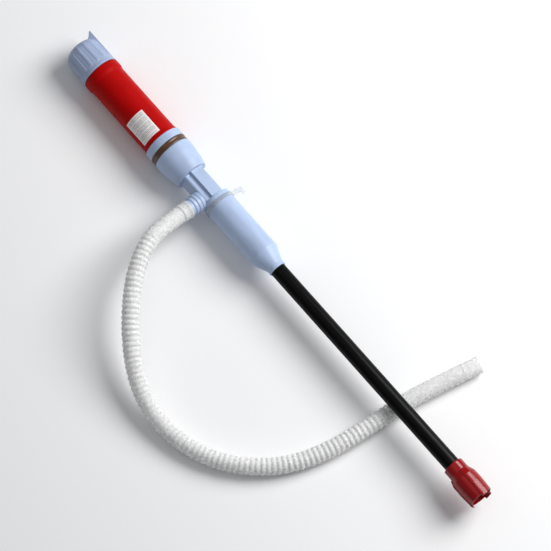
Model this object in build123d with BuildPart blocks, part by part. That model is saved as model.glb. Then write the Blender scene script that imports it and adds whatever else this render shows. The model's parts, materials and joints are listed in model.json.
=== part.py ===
from build123d import *
from math import asin, atan, cos, degrees, pi, radians, sin, sqrt, tan
import os

# Battery transfer pump, lying on its side on a surface at z = 0. Millimetres.
#
# +X runs from the cap to the strainer, +Z is up, and the outlet points towards -Y. The pump's
# axis rises a little towards the strainer, because the pump rests on its cap and on its own
# hose, which crosses under the suction tube. Places along the axis are called stations. They
# are counted from the cap's top face towards the strainer.

# ---------------------------------------------------------------- driving dimensions

wall = 2.0
slide_gap = 0.08         # radial clearance of pieces that slide or turn in a bore
shaft_gap = 0.06         # radial clearance of shafts in their bushes
free_gap = 0.4           # air between pieces that move past each other
crossing_gap = 0.5       # air between the hose and the tube that lies on it

# D cells set the size of the handle
cell_radius = 16.6
cell_can_length = 59.5
cell_nub_length = 1.5
cell_nub_radius = 4.75
cell_play = 0.6          # radial room for a cell in the bay

# switch cap
cap_length = 37.0
cap_radius = 21.3        # at its rim
cap_top_radius = 18.8    # the cap narrows towards its top
cap_round = 10.0
cap_inner_round = 5.8
cap_wall = 1.2
cap_web = 2.5
ridge_count = 14
ridge_width = 3.2
ridge_height = 0.4
ridge_end = 31.0
lug_height = 5.2
lug_width = 6.5
lug_angle = -63.0        # from the rib, away from the spout
hub_radius = 5.5

# end plug, its screw and contacts
plug_station = 9.0
plug_thickness = 2.9
plug_flange_radius = 17.7
plug_skirt = 5.3
screw_radius = 1.5
screw_head_radius = 2.9
plate_thickness = 0.5
plate_radius = 13.6
contact_radius = 13.0    # distance of the switch contacts from the axis
contact_start = 125.0    # angle of the first contact, from the rib towards the spout
contact_step = 40.0
knob_turn = 60.0
spring_wire = 0.45
spring_pitch = 1.35

# battery handle
handle_radius = 20.4
flare_radius = 21.5
flare_length = 8.0
spigot_radius = 18.7     # the handle's end inside the collar, seal and bell
spigot_depth = 4.9       # how far it reaches into the bell
handle_offset = 1.6      # the handle's axis lies this far towards the spout
strip_width_angle = 14.0
strip_thickness = 0.4
label_length = 30.0
label_gap = 5.7          # from the label to the handle's end
label_arc = 29.0
label_angle = 49.0
label_thickness = 0.15

# collar, seal and motor housing
collar_length = 9.1
collar_radius = 22.3
seal_length = 6.9
seal_radius = 22.1
bell_radius = 22.4
bell_length = 33.2
bell_end_radius = 18.5
bulkhead = 3.0
neck_length = 35.6
neck_radius = 12.0
chamber_radius = 9.5
rib_run = 16.3           # how far the rib reaches back along the bell
rib_top = 14.0           # height of the rib's flat face over the axis
rib_width = 14.0
block_height = 20.0
block_reach = 14.5       # distance of the outlet block's face from the axis
outlet_setback = 7.4     # from the spout's axis to the sleeve

# outlet spout, measured along the spout from the pump's axis
spout_shoulder = 18.0
spout_end = 31.0
spout_base_radius = 11.2
spout_tip_radius = 8.9
spout_bore = 5.0
spout_insert_radius = 6.5
nipple_radius = 7.8
nipple_end = 42.5

# grip sleeve, suction tube and strainer
sleeve_radius = 16.6
sleeve_length = 80.4
cone_length = 13.9
cone_end_radius = 11.0
nose_radius = 9.9
nose_length = 8.2
joint_radius = 11.0      # the neck's spigot inside the sleeve
joint_length = 12.0
tube_radius = 8.7
tube_wall = 1.2
tube_in_view = 278.2     # length of tube between the sleeve's nose and the strainer
strainer_collar_radius = 11.4
strainer_collar_length = 11.0
strainer_radius = 14.3
strainer_length = 44.7   # without its feet
strainer_wall = 1.9
foot_length = 2.4
foot_count = 3
foot_arc = 34.0
rib_swell = 0.8          # how far the strainer's three ribs stand proud
tube_seat = 9.4          # length of tube inside the strainer

# motor, on the pump's own axis
motor_radius = 12.2
motor_length = 27.0
motor_shaft_radius = 1.0
coupling_radius = 3.2
drive_radius = 1.5
bush_length = 6.0
bush_spacing = 135.0
seal_ring_radius = 5.0
impeller_length = 11.0
impeller_radius = 11.2
vane_count = 4

# hanging hook
hook_setback = 5.3       # from the sleeve's start to the hook's band
hook_band = 4.6
hook_thickness = 0.9
hook_reach = 32.5
hook_width = 5.6
hook_lip = 3.0

# hose
hose_radius = 9.5
hose_bore = 7.5
cuff_radius = 10.2
cuff_end = 43.0          # measured along the spout
end_cuff_length = 20.0
end_cuff_bore = 7.7
crossing_run = 300.1     # the hose crosses the tube this far past the spout
roll = 15.0              # the spout points this many degrees above the horizontal

# ---------------------------------------------------------------- stations that follow

bay_radius = cell_radius + cell_play
cap_taper = (cap_radius - cap_top_radius) / cap_length
cap_bore = cap_radius - cap_wall
cap_top_bore = cap_top_radius - cap_wall
neck_gap = 0.35          # air between the cap and the handle's neck inside it
flare_start = cap_length + 0.6
plug_end = plug_station + plug_thickness
mouth_station = plug_end + 0.1
cell_length = cell_can_length + cell_nub_length
upper_cell_station = plug_end + 6.1
lower_cell_station = upper_cell_station + cell_length
cells_end = lower_cell_station + cell_length
floor_thickness = 2.4
floor_station = cells_end + 1.6
rivet_end = floor_station + floor_thickness
handle_end = cells_end - 0.9
collar_end = handle_end + collar_length
bell_start = collar_end + seal_length
spigot_end = bell_start + spigot_depth
motor_start = rivet_end + 1.8
motor_front = motor_start + motor_length
holder_end = motor_front + 2.0
coupling_start = motor_front + 3.0
bell_end = bell_start + bell_length
drive_start = bell_end - 7.8
seal_station = bell_end
neck_end = bell_end + neck_length
outlet_station = neck_end - outlet_setback
hook_station = neck_end + hook_setback
sleeve_end = neck_end + sleeve_length
cone_end = sleeve_end + cone_length
nose_end = cone_end + nose_length
tube_start = neck_end + 1.6
strainer_start = nose_end + tube_in_view
tube_end = strainer_start + tube_seat
strainer_mouth = strainer_start + strainer_length
overall_end = strainer_mouth + foot_length
impeller_start = tube_end + 11.0
guard_start = impeller_start + impeller_length + 3
guard_length = 3.0
drive_end = guard_start + guard_length - 1

# ---------------------------------------------------------------- how the pump lies

crossing_station = outlet_station + crossing_run
cap_rest_station = flare_start + 0.8
cap_axis_height = flare_radius - handle_offset * sin(radians(roll))
tube_axis_height = 2 * hose_radius + crossing_gap + tube_radius
rise = (tube_axis_height - cap_axis_height) / (crossing_station - cap_rest_station)
tilt = asin(rise)
middle_station = (overall_end - lug_height) / 2
spout_reach = (nipple_end + nipple_radius * tan(radians(roll))) * cos(radians(roll))
side_shift = (spout_reach - hook_reach * cos(radians(roll))) / 2

axis_dir = Vector(cos(tilt), 0, sin(tilt))
level_dir = Vector(0, 1, 0)
upper_dir = Vector(-sin(tilt), 0, cos(tilt))
rib_dir = level_dir * sin(radians(roll)) + upper_dir * cos(radians(roll))
spout_dir = upper_dir * sin(radians(roll)) - level_dir * cos(radians(roll))

start_height = cap_axis_height - cap_rest_station * sin(tilt)
pump_origin = Vector(-middle_station * cos(tilt), side_shift, start_height)
grip_origin = pump_origin + spout_dir * handle_offset

# x points to the rib, y to the spout and z along the axis
pump = Plane(origin=pump_origin, x_dir=rib_dir, z_dir=axis_dir)
grip = Plane(origin=grip_origin, x_dir=rib_dir, z_dir=axis_dir)
# for the spout, x points to the rib and z along the spout
outlet_origin = pump_origin + axis_dir * outlet_station
outlet = Plane(origin=outlet_origin, x_dir=rib_dir, z_dir=spout_dir)

# ---------------------------------------------------------------- helpers


def axis_of(frame):
    """The long axis of a frame."""
    return Axis(frame.origin, frame.z_dir)


def lengthwise(frame, angle=0.0):
    """A plane through a frame's axis: x runs along the axis and y outwards, at an angle from the rib."""
    outwards = frame.x_dir * cos(radians(angle)) + frame.y_dir * sin(radians(angle))
    return Plane(origin=frame.origin, x_dir=frame.z_dir, z_dir=frame.z_dir.cross(outwards))


def outline(plane, *points):
    """A closed outline of (along, outwards) points. A third number rounds that corner."""
    with BuildSketch(plane) as sketch:
        with BuildLine():
            Polyline(*[point[:2] for point in points], close=True)
        make_face()
        for point in points:
            if len(point) > 2:
                corner = sketch.vertices().sort_by_distance(point[:2])[0]
                fillet(corner, point[2])
    return sketch.sketch


def ring(frame, start, end, outer, inner, angle=0.0):
    """The lengthwise section of a plain tube or washer."""
    plane = lengthwise(frame, angle)
    return outline(plane, (start, inner), (end, inner), (end, outer), (start, outer))


def finish(builder, name):
    """Labels a finished piece and writes it."""
    builder.part.label = name
    export_step(builder.part, f"parts/{name}.step")


os.makedirs("parts", exist_ok=True)
grip_axis = axis_of(grip)
pump_axis = axis_of(pump)
outlet_axis = axis_of(outlet)

# ---------------------------------------------------------------- switch cap and its screw

# the middle of the wall round the cap's top corner
half_corner = radians(45) + atan(cap_taper) / 2
outer_centre = cap_top_radius - cap_round / tan(half_corner)
inner_centre = cap_top_bore + cap_taper * cap_web - cap_inner_round / tan(half_corner)
corner_station = (cap_round + cap_web + cap_inner_round) / 2
corner_centre = (outer_centre + inner_centre) / 2
corner_round = (cap_round + cap_inner_round) / 2
in_corner = []
for turn in (20, 45, 70):
    along = corner_station - corner_round * sin(radians(turn))
    in_corner.append((along, corner_centre + corner_round * cos(radians(turn))))


def in_wall(station):
    """A point in the middle of the cap's side wall."""
    return (station, cap_top_radius + cap_taper * station - cap_wall / 2)


with BuildPart() as cap_ridges:
    ridge_root = cap_top_radius - cap_round - 1
    ridge_end_top = cap_top_radius + cap_taper * ridge_end + ridge_height
    envelope = outline(
        lengthwise(grip),
        (0.3, ridge_root),
        (0.3, cap_top_radius + ridge_height, cap_round),
        (ridge_end, ridge_end_top, ridge_height),
        in_wall(ridge_end),
        *in_corner,
        (in_corner[-1][0], ridge_root),
    )
    revolve(envelope, axis=grip_axis)
    with BuildSketch(grip):
        with PolarLocations(cap_radius, ridge_count, start_angle=6):
            Rectangle(2 * (cap_radius - cap_top_radius + cap_wall), ridge_width)
    extrude(amount=cap_length, mode=Mode.INTERSECT)

with BuildPart() as switch_cap:
    shell = outline(
        lengthwise(grip),
        (0, 0),
        (0, cap_top_radius, cap_round),
        (cap_length, cap_radius, 0.5),
        (cap_length, cap_bore),
        (cap_web, cap_top_bore + cap_taper * cap_web, cap_inner_round),
        (cap_web, hub_radius),
        (plug_station - 0.1, hub_radius),
        (plug_station - 0.1, screw_radius),
        (cap_web + 1, screw_radius),
        (cap_web + 1, 0),
    )
    revolve(shell, axis=grip_axis)
    add(cap_ridges.part)
    lug_plane = lengthwise(grip, lug_angle)
    lug_end = ridge_end + 2
    lug_root = cap_top_radius - 8.4
    lug = outline(
        lug_plane,
        (lug_end, cap_radius - 0.1),
        (-lug_height, cap_radius, 0.4),
        (-lug_height, cap_radius - 0.9, 0.4),
        (0.3, cap_top_radius - 4.0, 5),
        (0.8, lug_root),
        (in_corner[-1][0], lug_root),
        *reversed(in_corner),
        in_wall(lug_end),
    )
    extrude(lug, amount=lug_width / 2, both=True)
finish(switch_cap, "switch_cap")

with BuildPart() as pivot_screw:
    head_station = plug_end + 0.2
    screw = outline(
        lengthwise(grip),
        (cap_web + 1, 0),
        (cap_web + 1, screw_radius, 0.3),
        (head_station, screw_radius),
        (head_station, screw_head_radius),
        (head_station + 1.8, screw_head_radius, 0.6),
        (head_station + 1.8, 0),
    )
    revolve(screw, axis=grip_axis)
    with BuildSketch(grip.offset(head_station + 1.8)):
        Rectangle(2 * screw_head_radius + 1, 0.8)
    extrude(amount=-0.9, mode=Mode.SUBTRACT)
finish(pivot_screw, "pivot_screw")

with BuildPart() as switch_wiper:
    wiper_radius = contact_radius
    wiper = outline(
        lengthwise(grip, contact_start - knob_turn - 7),
        (cap_web, wiper_radius - 1.5),
        (plug_station - 0.5, wiper_radius - 1.5),
        (plug_station - 0.5, wiper_radius + 1.5),
        (plug_station - 0.9, wiper_radius + 1.5),
        (plug_station - 0.9, wiper_radius - 1.1),
        (cap_web, wiper_radius - 1.1),
    )
    revolve(wiper, axis=grip_axis, revolution_arc=contact_step + 14)
finish(switch_wiper, "switch_wiper")

# ---------------------------------------------------------------- end plug

with BuildPart() as end_plug:
    skirt_radius = bay_radius - slide_gap
    skirt_end = plug_end + plug_skirt
    groove = plug_end + plug_skirt / 2
    groove_half = 0.7
    groove_floor = skirt_radius - 1.2
    plug = outline(
        lengthwise(grip),
        (plug_station, screw_radius + slide_gap),
        (plug_station, plug_flange_radius, 0.4),
        (plug_end, plug_flange_radius),
        (plug_end, skirt_radius),
        (groove - groove_half, skirt_radius),
        (groove - groove_half, groove_floor),
        (groove + groove_half, groove_floor),
        (groove + groove_half, skirt_radius),
        (skirt_end, skirt_radius, 0.3),
        (skirt_end, groove_floor - 1.2),
        (plug_end, groove_floor - 1.2),
        (plug_end, screw_radius + slide_gap),
    )
    revolve(plug, axis=grip_axis)
    with BuildSketch(grip.offset(plug_station)):
        with PolarLocations(contact_radius, 2, contact_start, 2 * contact_step):
            Circle(1.0)
    extrude(amount=plug_thickness, mode=Mode.SUBTRACT)
finish(end_plug, "end_plug")

with BuildPart() as plug_seal:
    cord_radius = 0.6
    cord_centre = skirt_radius - cord_radius + 0.02
    with BuildSketch(lengthwise(grip)):
        with Locations((groove, cord_centre)):
            Circle(cord_radius)
    revolve(axis=grip_axis)
finish(plug_seal, "plug_seal")

with BuildPart() as switch_contacts:
    with BuildSketch(grip.offset(plug_station)):
        with PolarLocations(contact_radius, 2, contact_start, 2 * contact_step):
            Circle(1.0)
    extrude(amount=plug_thickness)
    with BuildSketch(grip.offset(plug_station)):
        with PolarLocations(contact_radius, 2, contact_start, 2 * contact_step):
            Circle(1.6)
    extrude(amount=-0.3)
finish(switch_contacts, "switch_contacts")

with BuildPart() as contact_plate:
    plate_hole = screw_head_radius + free_gap
    revolve(ring(grip, plug_end, plug_end + plate_thickness, plate_radius, plate_hole), axis=grip_axis)
finish(contact_plate, "contact_plate")

with BuildPart() as battery_spring:
    spring_start = plug_end + plate_thickness + spring_wire
    spring_height = upper_cell_station - spring_wire - 0.1 - spring_start
    spring_slope = 42
    with BuildLine(grip.offset(spring_start)) as coil:
        Helix(
            pitch=spring_pitch,
            height=spring_height,
            radius=10,
            direction=axis_dir,
            cone_angle=-spring_slope,
        )
    with BuildSketch(Plane(origin=coil.line @ 0, z_dir=coil.line % 0)):
        Circle(spring_wire)
    sweep(path=coil.line, is_frenet=True)
finish(battery_spring, "battery_spring")

# ---------------------------------------------------------------- battery handle

with BuildPart() as battery_handle:
    flare_end = flare_start + flare_length
    neck_at_mouth = cap_top_bore + cap_taper * mouth_station - neck_gap
    neck_at_flare = cap_top_bore + cap_taper * flare_start - neck_gap
    handle = outline(
        lengthwise(grip),
        (mouth_station, bay_radius),
        (mouth_station, neck_at_mouth, 0.2),
        (flare_start, neck_at_flare),
        (flare_start, flare_radius, 0.8),
        (flare_end, flare_radius, 4),
        (flare_end + 4, handle_radius, 5),
        (handle_end - 5, handle_radius, 4),
        (handle_end - 0.8, flare_radius - 0.3, 0.5),
        (handle_end, flare_radius - 0.3),
        (handle_end, spigot_radius),
        (spigot_end, spigot_radius, 0.3),
        (spigot_end, bay_radius),
    )
    revolve(handle, axis=grip_axis)
    strip_station = mouth_station + 0.6
    strip_end = spigot_end - 12
    strip_radius = bay_radius + 0.1
    groove_arc = strip_width_angle + 2
    strip_groove = ring(
        grip,
        strip_station,
        strip_end,
        strip_radius + strip_thickness + 0.1,
        bay_radius - 0.2,
        angle=180 - groove_arc / 2,
    )
    revolve(strip_groove, axis=grip_axis, revolution_arc=groove_arc, mode=Mode.SUBTRACT)
finish(battery_handle, "battery_handle")

with BuildPart() as contact_strip:
    strip = ring(
        grip,
        strip_station,
        strip_end,
        strip_radius + strip_thickness,
        strip_radius,
        angle=180 - strip_width_angle / 2,
    )
    revolve(strip, axis=grip_axis, revolution_arc=strip_width_angle)
finish(contact_strip, "contact_strip")

with BuildPart() as handle_label:
    label_start = handle_end - label_gap - label_length
    label_span = degrees(label_arc / handle_radius)
    label = ring(
        grip,
        label_start,
        label_start + label_length,
        handle_radius + label_thickness,
        handle_radius,
        angle=label_angle - label_span / 2,
    )
    revolve(label, axis=grip_axis, revolution_arc=label_span)
finish(handle_label, "handle_label")

for cell_name, station in (("battery_upper", upper_cell_station), ("battery_lower", lower_cell_station)):
    with BuildPart() as cell:
        cell_outline = outline(
            lengthwise(grip),
            (station, 0),
            (station, cell_radius - 5),
            (station + 0.4, cell_radius - 4.6),
            (station + 0.4, cell_radius, 0.6),
            (station + cell_can_length, cell_radius, 1.2),
            (station + cell_can_length, cell_nub_radius),
            (station + cell_length, cell_nub_radius, 0.5),
            (station + cell_length, 0),
        )
        revolve(cell_outline, axis=grip_axis)
    finish(cell, cell_name)

with BuildPart() as battery_floor:
    floor_hole = 3.0
    revolve(
        ring(grip, floor_station, floor_station + floor_thickness, bay_radius, floor_hole),
        axis=grip_axis,
    )
    with BuildSketch(grip.offset(floor_station)):
        with PolarLocations(bay_radius - 4, 4, start_angle=45):
            Circle(1.4)
    extrude(amount=floor_thickness, mode=Mode.SUBTRACT)
finish(battery_floor, "battery_floor")

with BuildPart() as positive_contact:
    contact = outline(
        lengthwise(grip),
        (cells_end, 0),
        (cells_end, 4.0),
        (floor_station - 0.4, 7.0),
        (floor_station, 7.0),
        (floor_station, floor_hole),
        (rivet_end, floor_hole),
        (rivet_end, floor_hole + 1.2),
        (rivet_end + 0.5, floor_hole + 1.2),
        (rivet_end + 0.5, 0),
    )
    revolve(contact, axis=grip_axis)
finish(positive_contact, "positive_contact")

# ---------------------------------------------------------------- collar and seal

with BuildPart() as collar_ring:
    collar = outline(
        lengthwise(grip),
        (handle_end, spigot_radius),
        (handle_end, collar_radius, 1.0),
        (collar_end, collar_radius, 0.6),
        (collar_end, spigot_radius),
    )
    revolve(collar, axis=grip_axis)
finish(collar_ring, "collar_ring")

with BuildPart() as seal_ring:
    seal = outline(
        lengthwise(grip),
        (collar_end, spigot_radius),
        (collar_end, seal_radius, 2.0),
        (bell_start, seal_radius, 2.0),
        (bell_start, spigot_radius),
    )
    revolve(seal, axis=grip_axis)
finish(seal_ring, "seal_ring")

# ---------------------------------------------------------------- motor housing

with BuildPart() as motor_housing:
    bell = outline(
        lengthwise(grip),
        (bell_start, 0),
        (bell_start, bell_radius, 0.8),
        (bell_start + 11, bell_radius - 0.4, 9),
        (bell_start + 24, bell_radius - 2.1, 9),
        (bell_end, bell_end_radius, 1.0),
        (bell_end, 0),
    )
    revolve(bell, axis=grip_axis)
    with BuildSketch(pump.offset(bell_end - bulkhead)):
        Circle(neck_radius)
    extrude(amount=neck_end - bell_end + bulkhead)
    with BuildSketch(pump.offset(bell_end - bulkhead)) as block_section:
        with Locations((0, block_reach / 2)):
            Rectangle(block_height, block_reach)
        fillet(block_section.vertices().group_by(Axis.Y)[-1], 2.5)
    extrude(amount=neck_end - bell_end + bulkhead)
    rib_plane = lengthwise(pump)
    rib = outline(
        rib_plane,
        (bell_end - rib_run, neck_radius - 3),
        (bell_end - rib_run, rib_top),
        (neck_end, rib_top, 0.4),
        (neck_end, neck_radius - 3),
    )
    extrude(rib, amount=rib_width / 2, both=True)
    motor_room = outline(
        lengthwise(grip),
        (bell_start, 0),
        (bell_start, spigot_radius),
        (spigot_end + 0.5, spigot_radius),
        (spigot_end + 0.5, bay_radius),
        (holder_end, bay_radius),
        (holder_end, bay_radius - 1.6),
        (bell_end - bulkhead, bell_end_radius - 3.5),
        (bell_end - bulkhead, 0),
    )
    revolve(motor_room, axis=grip_axis, mode=Mode.SUBTRACT)
    with BuildSketch(pump.offset(bell_end)):
        Circle(chamber_radius)
    extrude(amount=neck_end - bell_end, mode=Mode.SUBTRACT)
    revolve(ring(pump, neck_end, neck_end + joint_length, joint_radius, tube_radius), axis=pump_axis)
    revolve(ring(pump, neck_end, tube_start, tube_radius, tube_radius - tube_wall), axis=pump_axis)
    boss_end = seal_station + 4.2
    boss_radius = seal_ring_radius + 1.6
    revolve(ring(pump, seal_station, boss_end, boss_radius, seal_ring_radius), axis=pump_axis)
    with BuildSketch(pump.offset(bell_end - bulkhead)):
        Circle(drive_radius + free_gap)
    extrude(amount=bulkhead, mode=Mode.SUBTRACT)
    with BuildSketch(outlet.offset(chamber_radius / 2)):
        Circle(spout_insert_radius)
    extrude(amount=block_reach, mode=Mode.SUBTRACT)
finish(motor_housing, "motor_housing")

with BuildPart() as shaft_seal:
    lip = outline(
        lengthwise(pump),
        (seal_station, drive_radius + shaft_gap),
        (seal_station, seal_ring_radius),
        (seal_station + 3, seal_ring_radius),
        (seal_station + 3, drive_radius + 1.6),
        (seal_station + 1.2, drive_radius + 1.6),
        (seal_station + 1.2, drive_radius + shaft_gap),
    )
    revolve(lip, axis=pump_axis)
finish(shaft_seal, "shaft_seal")

with BuildPart() as seal_retainer:
    retainer_hole = drive_radius + free_gap
    revolve(
        ring(pump, seal_station + 3, seal_station + 3.8, seal_ring_radius, retainer_hole),
        axis=pump_axis,
    )
finish(seal_retainer, "seal_retainer")

# ---------------------------------------------------------------- motor

can_start = motor_start + 2.2
can_wall = 0.6
magnet_radius = motor_radius - can_wall
armature_radius = 9.0
terminal_radius = 8.5
wire_radius = 0.5

with BuildPart() as motor_can:
    can = outline(
        lengthwise(pump),
        (can_start, magnet_radius),
        (can_start, motor_radius, 0.2),
        (motor_front, motor_radius, 1.2),
        (motor_front, 3.0),
        (motor_front + 1.5, 3.0, 0.4),
        (motor_front + 1.5, motor_shaft_radius + shaft_gap),
        (motor_front - 1.0, motor_shaft_radius + shaft_gap),
        (motor_front - 1.0, magnet_radius),
    )
    revolve(can, axis=pump_axis)
    with BuildSketch(pump.offset(motor_front - 1)):
        with PolarLocations(8, 2):
            Circle(1.0)
    extrude(amount=1, mode=Mode.SUBTRACT)
finish(motor_can, "motor_can")

with BuildPart() as motor_magnets:
    for magnet_angle in (0, 180):
        magnet = ring(
            pump,
            can_start + 4,
            motor_front - 5,
            magnet_radius,
            armature_radius + 0.5,
            angle=magnet_angle - 58,
        )
        revolve(magnet, axis=pump_axis, revolution_arc=116)
finish(motor_magnets, "motor_magnets")

with BuildPart() as motor_end_cap:
    bearing_hole = motor_shaft_radius + shaft_gap
    end_cap = outline(
        lengthwise(pump),
        (motor_start, bearing_hole),
        (motor_start, motor_radius - 0.8, 0.6),
        (can_start, motor_radius - 0.8),
        (can_start, magnet_radius),
        (can_start + 1.4, magnet_radius),
        (can_start + 1.4, magnet_radius - 1.4),
        (can_start, magnet_radius - 1.4),
        (can_start, bearing_hole),
    )
    revolve(end_cap, axis=pump_axis)
    with BuildSketch(pump.offset(motor_start)):
        with PolarLocations(terminal_radius, 2):
            Rectangle(0.5, 2.6)
    extrude(amount=can_start - motor_start, mode=Mode.SUBTRACT)
finish(motor_end_cap, "motor_end_cap")

with BuildPart() as motor_terminals:
    terminal_start = rivet_end + 2 * wire_radius
    with BuildSketch(pump.offset(terminal_start)):
        with PolarLocations(terminal_radius, 2):
            Rectangle(0.5, 2.6)
    extrude(amount=can_start + 0.6 - terminal_start)
finish(motor_terminals, "motor_terminals")

with BuildPart() as motor_brushes:
    commutator_radius = 2.6
    brush_end = can_start + 2.6
    for side in (-1, 1):
        brush_middle = side * (commutator_radius + slide_gap + 8.2) / 2
        brush_span = 8.2 - commutator_radius - slide_gap
        with BuildSketch(pump.offset(can_start + 0.6)):
            with Locations((0, brush_middle)):
                Rectangle(2.0, brush_span)
        extrude(amount=2.0)
finish(motor_brushes, "motor_brushes")

core_start = can_start + 4.5
core_end = motor_front - 5.5

with BuildPart() as motor_armature:
    with BuildSketch(pump.offset(core_start)):
        Circle(3.2)
        with PolarLocations(4.6, 3):
            Rectangle(5.6, 3.0)
        with PolarLocations(armature_radius - 1.0, 3):
            Rectangle(1.2, 12.0)
        with BuildSketch(mode=Mode.INTERSECT):
            Circle(armature_radius)
        Circle(motor_shaft_radius, mode=Mode.SUBTRACT)
    extrude(amount=core_end - core_start)
    commutator_end = core_start - 1.0
    revolve(
        ring(pump, can_start + 0.4, commutator_end, commutator_radius, motor_shaft_radius),
        axis=pump_axis,
    )
finish(motor_armature, "motor_armature")

with BuildPart() as motor_windings:
    for leg in range(3):
        for side in (-1, 1):
            with BuildSketch(lengthwise(pump, 120 * leg).offset(side * 2.3)):
                with Locations(((core_start + core_end) / 2, 5.2)):
                    RectangleRounded(core_end - core_start - 0.4, 3.2, 0.7)
            extrude(amount=0.7, both=True)
finish(motor_windings, "motor_windings")

with BuildPart() as motor_shaft:
    with BuildSketch(pump.offset(motor_start + 0.4)):
        Circle(motor_shaft_radius)
    extrude(amount=drive_start - motor_start - 0.4)
finish(motor_shaft, "motor_shaft")

with BuildPart() as shaft_coupling:
    coupling_end = bell_end - bulkhead - free_gap
    coupling = outline(
        lengthwise(pump),
        (coupling_start, motor_shaft_radius),
        (coupling_start, coupling_radius, 0.4),
        (coupling_end, coupling_radius, 0.4),
        (coupling_end, drive_radius),
        (drive_start, drive_radius),
        (drive_start, motor_shaft_radius),
    )
    revolve(coupling, axis=pump_axis)
finish(shaft_coupling, "shaft_coupling")

with BuildPart() as motor_holder:
    with BuildSketch(grip.offset(holder_end - 9)):
        Circle(bay_radius)
    extrude(amount=9)
    with BuildSketch(pump.offset(holder_end - 9)):
        Circle(motor_radius)
    extrude(amount=motor_front - holder_end + 9, mode=Mode.SUBTRACT)
    with BuildSketch(pump.offset(motor_front)):
        Circle(coupling_radius + free_gap)
        with PolarLocations(8, 2):
            Circle(1.0)
    extrude(amount=2, mode=Mode.SUBTRACT)
finish(motor_holder, "motor_holder")

with BuildPart() as motor_screws:
    with BuildSketch(pump.offset(motor_front - 1)):
        with PolarLocations(8, 2):
            Circle(1.0)
    extrude(amount=3)
    with BuildSketch(pump.offset(holder_end)):
        with PolarLocations(8, 2):
            Circle(1.9)
    extrude(amount=1.3)
finish(motor_screws, "motor_screws")

with BuildPart() as lead_wires:
    near_rivet = floor_hole + 1.2 + wire_radius
    near_strip = bay_radius - 0.1
    for wire_start, wire_end in ((near_rivet, terminal_radius), (-near_strip, -terminal_radius)):
        wire_origin = grip.from_local_coords((wire_start, -handle_offset, rivet_end + wire_radius))
        with BuildSketch(Plane(origin=wire_origin, z_dir=rib_dir)):
            Circle(wire_radius)
        extrude(amount=wire_end - wire_start)
finish(lead_wires, "lead_wires")

# ---------------------------------------------------------------- outlet spout

with BuildPart() as outlet_spout:
    step = (spout_end - spout_shoulder) / 3
    fall = (spout_base_radius - spout_tip_radius) / 3
    spout = outline(
        lengthwise(outlet),
        (block_reach, 0),
        (block_reach, spout_base_radius),
        (spout_shoulder, spout_base_radius, 0.8),
        (spout_shoulder + 0.9, spout_base_radius - fall),
        (spout_shoulder + step, spout_base_radius - fall + 0.3, 0.5),
        (spout_shoulder + step + 0.7, spout_base_radius - 2 * fall),
        (spout_shoulder + 2 * step, spout_base_radius - 2 * fall + 0.3, 0.5),
        (spout_shoulder + 2 * step + 0.7, spout_tip_radius),
        (spout_end, spout_tip_radius, 0.5),
        (spout_end, nipple_radius),
        (nipple_end, nipple_radius, 0.4),
        (nipple_end, 0),
    )
    revolve(spout, axis=outlet_axis)
    with BuildSketch(outlet.offset(chamber_radius / 2)):
        Circle(spout_insert_radius)
    extrude(amount=block_reach - chamber_radius / 2)
    with BuildSketch(pump.offset(bell_end)):
        Circle(chamber_radius)
    extrude(amount=neck_end - bell_end, mode=Mode.SUBTRACT)
    with BuildSketch(outlet):
        Circle(spout_bore)
    extrude(amount=nipple_end, mode=Mode.SUBTRACT)
finish(outlet_spout, "outlet_spout")

# ---------------------------------------------------------------- grip sleeve and hook

with BuildPart() as grip_sleeve:
    sleeve_bore = sleeve_radius - wall
    sleeve = outline(
        lengthwise(pump),
        (neck_end, joint_radius),
        (neck_end, sleeve_radius, 0.8),
        (sleeve_end, sleeve_radius, 5),
        (cone_end, cone_end_radius, 3),
        (cone_end + 2.5, nose_radius),
        (nose_end, nose_radius, 0.6),
        (nose_end, tube_radius),
        (cone_end - 3, tube_radius),
        (sleeve_end, sleeve_bore),
        (neck_end + wall, sleeve_bore),
        (neck_end + wall, joint_radius),
    )
    revolve(sleeve, axis=pump_axis)
    with BuildSketch(outlet.offset(block_reach - 0.2)):
        Circle(spout_base_radius + 0.2)
    extrude(amount=sleeve_radius, mode=Mode.SUBTRACT)
finish(grip_sleeve, "grip_sleeve")

with BuildPart() as hanging_hook:
    hook_inner = sleeve_radius + slide_gap
    hook_outer = hook_inner + hook_thickness
    revolve(ring(pump, hook_station, hook_station + hook_band, hook_outer, hook_inner), axis=pump_axis)
    tongue_start = hook_station - hook_width / 2 - 0.9
    tongue_end = tongue_start + hook_width
    tongue = outline(
        lengthwise(pump, -90),
        (tongue_start, hook_outer - 0.4),
        (tongue_start + 2.4, hook_reach, 1.2),
        (tongue_end + 2.4 + hook_lip, hook_reach, 1.0),
        (tongue_end + 2.4 + hook_lip, hook_reach - 3.4, 0.6),
        (tongue_end + 1.8, hook_reach - 3.4, 0.8),
        (tongue_end + 0.6, hook_outer - 0.4),
    )
    extrude(tongue, amount=hook_thickness / 2, both=True)
finish(hanging_hook, "hanging_hook")

# ---------------------------------------------------------------- suction tube and drive shaft

with BuildPart() as suction_tube:
    tube_bore = tube_radius - tube_wall
    revolve(ring(pump, tube_start, tube_end, tube_radius, tube_bore), axis=pump_axis)
finish(suction_tube, "suction_tube")

with BuildPart() as drive_shaft:
    with BuildSketch(pump.offset(drive_start)):
        Circle(drive_radius)
    extrude(amount=drive_end - drive_start)
finish(drive_shaft, "drive_shaft")


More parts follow.
